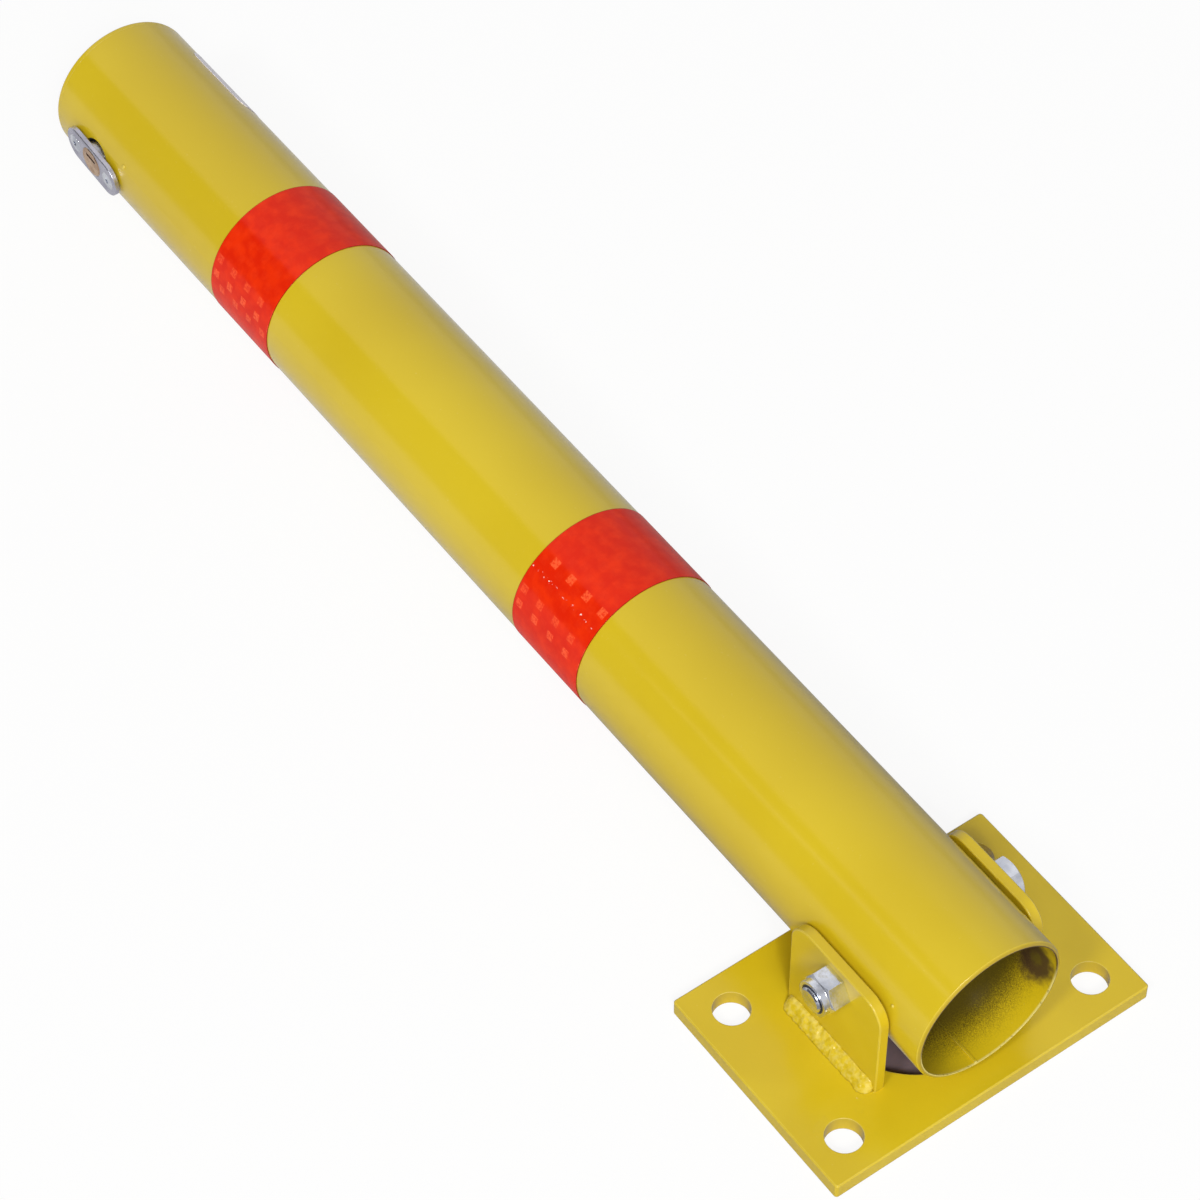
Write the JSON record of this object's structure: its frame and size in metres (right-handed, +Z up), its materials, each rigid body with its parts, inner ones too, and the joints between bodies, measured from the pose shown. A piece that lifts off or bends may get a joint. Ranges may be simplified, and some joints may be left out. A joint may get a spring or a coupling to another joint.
{
  "type": "lockable parking bollard",
  "caption": "Fold-down parking bollard: a round steel post with reflective bands and a key lock, pivoted between two ears on a base plate bolted to the ground.",
  "frame": {"origin": "on the ground, in the middle of the four anchor holes and straight under the pivot", "axes": "+Z up; +X along the folded post towards its open foot; Y along the pivot bolt, with the nut and the lock at -Y"},
  "size_m": [0.695, 0.17, 0.0913],
  "materials": {
    "post_paint": "glossy yellow powder coat",
    "base_paint": "glossy yellow powder coat",
    "weld_paint": "painted weld bead",
    "red_tape": "retroreflective film",
    "label_film": "blank adhesive film",
    "zinc_steel": "bright zinc plated",
    "lock_steel": "satin",
    "lock_zinc": "die-cast",
    "lock_brass": "satin",
    "inner_steel": "plain",
    "insert_plastic": "nylon",
    "bush_plastic": "nylon"
  },
  "bodies": {
    "base": {"base_plate": "base_paint", "near_ear": "base_paint", "far_ear": "base_paint", "near_ear_weld": "weld_paint", "far_ear_weld": "weld_paint", "pivot_bolt": "zinc_steel", "pivot_nut": "zinc_steel", "nut_insert": "insert_plastic", "pivot_sleeve": "inner_steel", "index_plate": "inner_steel", "index_set_screw": "inner_steel"},
    "slide_bushes": {"near_slide_bush": "bush_plastic", "far_slide_bush": "bush_plastic"},
    "post": {"post_tube": "post_paint", "top_cap": "post_paint", "upper_reflective_band": "red_tape", "lower_reflective_band": "red_tape", "blank_label": "label_film", "lock_plate": "lock_steel", "upper_lock_screw": "zinc_steel", "lower_lock_screw": "zinc_steel", "upper_rivet_nut": "inner_steel", "lower_rivet_nut": "inner_steel", "lock_housing": "lock_zinc", "upper_rod_guide": "inner_steel", "lower_rod_guide": "inner_steel"},
    "lock_barrel": {"lock_plug": "lock_brass", "lock_cam": "inner_steel", "crank_pin": "inner_steel", "cam_screw": "zinc_steel"},
    "locking_rod": {"lock_rod": "inner_steel"}
  },
  "joints": [
    {"name": "post_fold", "type": "hinge", "parent": "base", "child": "slide_bushes", "pos_m": [0, 0, 0.053], "axis": [0, 1, 0], "range_deg": [-1.4, 90]},
    {"name": "post_lift", "type": "slide", "parent": "slide_bushes", "child": "post", "axis": [1, 0, 0], "range_m": [-0.011, 0.004]},
    {"name": "key_turn", "type": "hinge", "parent": "post", "child": "lock_barrel", "pos_m": [-0.6, -0.03, 0.053], "axis": [0, 1, 0], "range_deg": [0, 90]},
    {"name": "rod_throw", "type": "slide", "parent": "post", "child": "locking_rod", "axis": [1, 0, 0], "range_m": [0, 0.0195]}
  ],
  "couplings": [
    {"joint": "key_turn", "follows": "rod_throw", "rad_per_m": 80.55}
  ]
}
